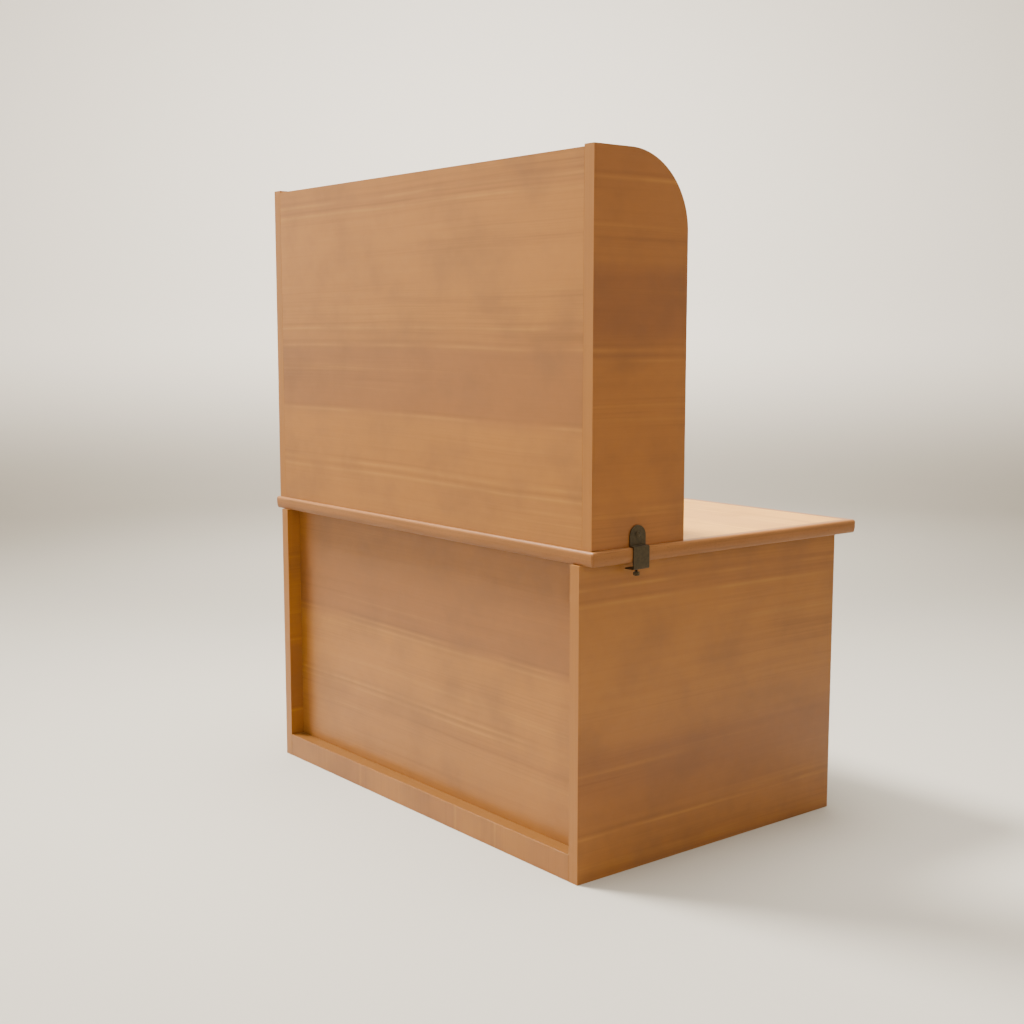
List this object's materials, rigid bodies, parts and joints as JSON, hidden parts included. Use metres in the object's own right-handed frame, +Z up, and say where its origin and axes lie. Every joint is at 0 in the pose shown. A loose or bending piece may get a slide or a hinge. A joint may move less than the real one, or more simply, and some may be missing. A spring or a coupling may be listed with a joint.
{
  "type": "study carrel",
  "caption": "Veneered study carrel: desk base with a recessed modesty panel and a clamp-on screen whose round-cornered wings carry a shelf.",
  "frame": {"origin": "on the floor, under the middle of the overall box", "axes": "+Z up; +Y is the back, where the screen stands; -Y is the reader's side; -X is the reader's left"},
  "size_m": [1.3346, 0.8666, 1.5635],
  "materials": {
    "veneer": "satin varnished honey-coloured veneer, long grain",
    "lipping": "satin varnished solid hardwood, moulded and rounded",
    "batten": "plain planed softwood",
    "dowel": "plain beech",
    "bronze": "dark bronze, satin",
    "zinc": "bright zinc plate",
    "nylon": "matt black nylon"
  },
  "bodies": {
    "base": {"end_panel_left": "veneer", "top_cleat_left": "batten", "end_panel_right": "veneer", "top_cleat_right": "batten", "modesty_panel": "veneer", "plinth_rail": "veneer", "top_cleat_rear": "batten", "desktop_panel": "veneer", "desktop_lipping_front": "lipping", "desktop_lipping_right": "lipping", "desktop_lipping_rear": "lipping", "desktop_lipping_left": "lipping", "base_cam_left_lower": "zinc", "base_cam_bolt_left_lower": "zinc", "base_cam_left_upper": "zinc", "base_cam_bolt_left_upper": "zinc", "dowel_left_plinth": "dowel", "base_cam_right_lower": "zinc", "base_cam_bolt_right_lower": "zinc", "base_cam_right_upper": "zinc", "base_cam_bolt_right_upper": "zinc", "dowel_right_plinth": "dowel", "foot_insert_front_left": "zinc", "foot_insert_rear_left": "zinc", "foot_insert_front_right": "zinc", "foot_insert_rear_right": "zinc"},
    "screen": {"screen_cam_left_lower": "zinc", "screen_cam_bolt_left_lower": "zinc", "screen_cam_left_upper": "zinc", "screen_cam_bolt_left_upper": "zinc", "screen_cam_right_lower": "zinc", "screen_cam_bolt_right_lower": "zinc", "screen_cam_right_upper": "zinc", "screen_cam_bolt_right_upper": "zinc", "screen_back": "veneer", "screen_shelf": "veneer", "shelf_lipping": "lipping", "screen_wing_left": "veneer", "shelf_peg_left_rear": "zinc", "shelf_peg_left_front": "zinc", "clamp_bracket_left": "bronze", "clamp_tab_screw_left": "bronze", "screen_wing_right": "veneer", "shelf_peg_right_rear": "zinc", "shelf_peg_right_front": "zinc", "clamp_bracket_right": "bronze", "clamp_tab_screw_right": "bronze"},
    "clamp_pad_left": {"clamp_pad_left": "bronze"},
    "clamp_screw_left": {"clamp_screw_left": "bronze"},
    "clamp_pad_right": {"clamp_pad_right": "bronze"},
    "clamp_screw_right": {"clamp_screw_right": "bronze"},
    "foot_pad_front_left": {"foot_pad_front_left": "nylon"},
    "foot_stem_front_left": {"foot_stem_front_left": "zinc"},
    "foot_pad_rear_left": {"foot_pad_rear_left": "nylon"},
    "foot_stem_rear_left": {"foot_stem_rear_left": "zinc"},
    "foot_pad_front_right": {"foot_pad_front_right": "nylon"},
    "foot_stem_front_right": {"foot_stem_front_right": "zinc"},
    "foot_pad_rear_right": {"foot_pad_rear_right": "nylon"},
    "foot_stem_rear_right": {"foot_stem_rear_right": "zinc"}
  },
  "joints": [
    {"name": "screen_slide", "type": "slide", "parent": "base", "child": "screen", "axis": [0, -1, 0], "range_m": [0, 0.58]},
    {"name": "clamp_pad_left_travel", "type": "slide", "parent": "screen", "child": "clamp_pad_left", "axis": [0, 0, -1], "range_m": [0, 0.008]},
    {"name": "clamp_screw_left_turn", "type": "hinge", "parent": "clamp_pad_left", "child": "clamp_screw_left", "pos_m": [-0.6515, 0.29275, 0.69], "axis": [0, 0, -1], "range_deg": [0, 2890]},
    {"name": "clamp_pad_right_travel", "type": "slide", "parent": "screen", "child": "clamp_pad_right", "axis": [0, 0, -1], "range_m": [0, 0.008]},
    {"name": "clamp_screw_right_turn", "type": "hinge", "parent": "clamp_pad_right", "child": "clamp_screw_right", "pos_m": [0.6515, 0.29275, 0.69], "axis": [0, 0, -1], "range_deg": [0, 2890]},
    {"name": "foot_front_left_travel", "type": "slide", "parent": "base", "child": "foot_pad_front_left", "axis": [0, 0, -1], "range_m": [0, 0.0125]},
    {"name": "foot_front_left_turn", "type": "hinge", "parent": "foot_pad_front_left", "child": "foot_stem_front_left", "pos_m": [-0.611, -0.34075, 0.02], "axis": [0, 0, -1], "range_deg": [0, 3610]},
    {"name": "foot_rear_left_travel", "type": "slide", "parent": "base", "child": "foot_pad_rear_left", "axis": [0, 0, -1], "range_m": [0, 0.0125]},
    {"name": "foot_rear_left_turn", "type": "hinge", "parent": "foot_pad_rear_left", "child": "foot_stem_rear_left", "pos_m": [-0.611, 0.37325, 0.02], "axis": [0, 0, -1], "range_deg": [0, 3610]},
    {"name": "foot_front_right_travel", "type": "slide", "parent": "base", "child": "foot_pad_front_right", "axis": [0, 0, -1], "range_m": [0, 0.0125]},
    {"name": "foot_front_right_turn", "type": "hinge", "parent": "foot_pad_front_right", "child": "foot_stem_front_right", "pos_m": [0.611, -0.34075, 0.02], "axis": [0, 0, -1], "range_deg": [0, 3610]},
    {"name": "foot_rear_right_travel", "type": "slide", "parent": "base", "child": "foot_pad_rear_right", "axis": [0, 0, -1], "range_m": [0, 0.0125]},
    {"name": "foot_rear_right_turn", "type": "hinge", "parent": "foot_pad_rear_right", "child": "foot_stem_rear_right", "pos_m": [0.611, 0.37325, 0.02], "axis": [0, 0, -1], "range_deg": [0, 3610]}
  ],
  "couplings": [
    {"joint": "clamp_screw_left_turn", "follows": "clamp_pad_left_travel", "rad_per_m": 6283.2},
    {"joint": "clamp_screw_right_turn", "follows": "clamp_pad_right_travel", "rad_per_m": 6283.2},
    {"joint": "foot_front_left_turn", "follows": "foot_front_left_travel", "rad_per_m": 5026.5},
    {"joint": "foot_rear_left_turn", "follows": "foot_rear_left_travel", "rad_per_m": 5026.5},
    {"joint": "foot_front_right_turn", "follows": "foot_front_right_travel", "rad_per_m": 5026.5},
    {"joint": "foot_rear_right_turn", "follows": "foot_rear_right_travel", "rad_per_m": 5026.5}
  ]
}
